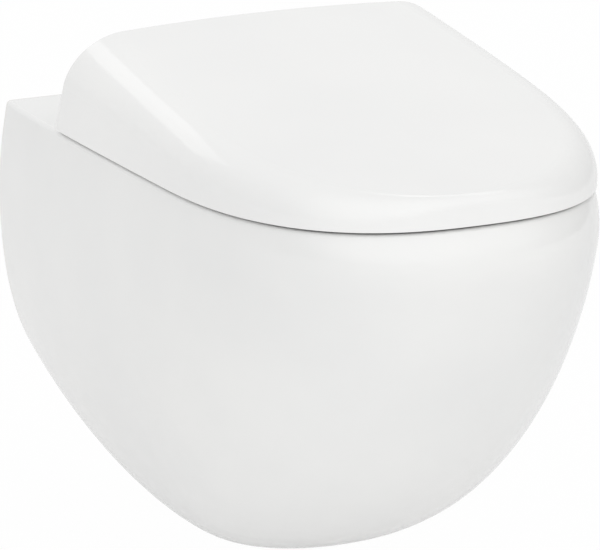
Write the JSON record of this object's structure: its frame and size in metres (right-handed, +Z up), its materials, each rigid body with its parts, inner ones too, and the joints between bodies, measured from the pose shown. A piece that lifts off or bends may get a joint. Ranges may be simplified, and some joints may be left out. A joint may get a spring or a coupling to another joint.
{
  "type": "wall hung toilet",
  "caption": "Wall hung toilet pan in white glazed ceramic with a wrap-over soft-close seat and lid on quick-release hinges, held by concealed wall fixings.",
  "frame": {"origin": "on the wall plane, midway between the two wall fixings", "axes": "+Z up, the wall is the plane y = 0 and the pan's front faces -Y, +X to the right of someone facing it"},
  "size_m": [0.3605, 0.5625, 0.4364],
  "materials": {
    "glazed_ceramic": "glazed vitreous china, high gloss white",
    "seat_plastic": "polished white duroplast",
    "damper_plastic": "light grey acetal",
    "bush_plastic": "natural acetal",
    "soft_rubber": "white elastomer",
    "black_rubber": "black rubber",
    "polished_chrome": "polished chrome plate",
    "plated_steel": "zinc plated",
    "stainless_steel": "turned stainless",
    "brass": "turned brass"
  },
  "bodies": {
    "pan": {"ceramic_pan": "glazed_ceramic", "wall_sleeve_left": "plated_steel", "draw_screw_left": "plated_steel", "lug_liner_left": "bush_plastic", "base_gasket_left": "soft_rubber", "hinge_base_left": "polished_chrome", "hinge_spigot_left": "polished_chrome", "hinge_stud_left": "plated_steel", "expansion_plug_left": "black_rubber", "expansion_nut_left": "brass", "wall_sleeve_right": "plated_steel", "draw_screw_right": "plated_steel", "lug_liner_right": "bush_plastic", "base_gasket_right": "soft_rubber", "hinge_base_right": "polished_chrome", "hinge_spigot_right": "polished_chrome", "hinge_stud_right": "plated_steel", "expansion_plug_right": "black_rubber", "expansion_nut_right": "brass"},
    "hinge_carrier": {"hinge_post_left": "polished_chrome", "hinge_pin_left": "stainless_steel", "button_spring_left": "stainless_steel", "hinge_post_right": "polished_chrome", "hinge_pin_right": "stainless_steel", "button_spring_right": "stainless_steel"},
    "seat": {"seat_ring": "seat_plastic", "seat_damper": "damper_plastic", "seat_bush": "bush_plastic", "seat_buffers": "soft_rubber"},
    "lid": {"lid_shell": "seat_plastic", "lid_damper": "damper_plastic", "lid_bush": "bush_plastic", "lid_buffers": "soft_rubber"},
    "release_left": {"release_button_left": "polished_chrome"},
    "release_right": {"release_button_right": "polished_chrome"}
  },
  "joints": [
    {"name": "seat_lift_off", "type": "slide", "parent": "pan", "child": "hinge_carrier", "axis": [0, 0, 1], "range_m": [0, 0.03]},
    {"name": "seat_hinge", "type": "hinge", "parent": "hinge_carrier", "child": "seat", "pos_m": [0, -0.106, 0.104], "axis": [-1, 0, 0], "range_deg": [0, 100]},
    {"name": "lid_hinge", "type": "hinge", "parent": "seat", "child": "lid", "pos_m": [0, -0.106, 0.104], "axis": [1, 0, 0], "range_deg": [-100, 0]},
    {"name": "release_button_left", "type": "slide", "parent": "hinge_carrier", "child": "release_left", "axis": [0, -1, 0], "range_m": [0, 0.003], "stiffness_N_per_m": 800, "deforming": ["button_spring_left"]},
    {"name": "release_button_right", "type": "slide", "parent": "hinge_carrier", "child": "release_right", "axis": [0, -1, 0], "range_m": [0, 0.003], "stiffness_N_per_m": 800, "deforming": ["button_spring_right"]}
  ]
}
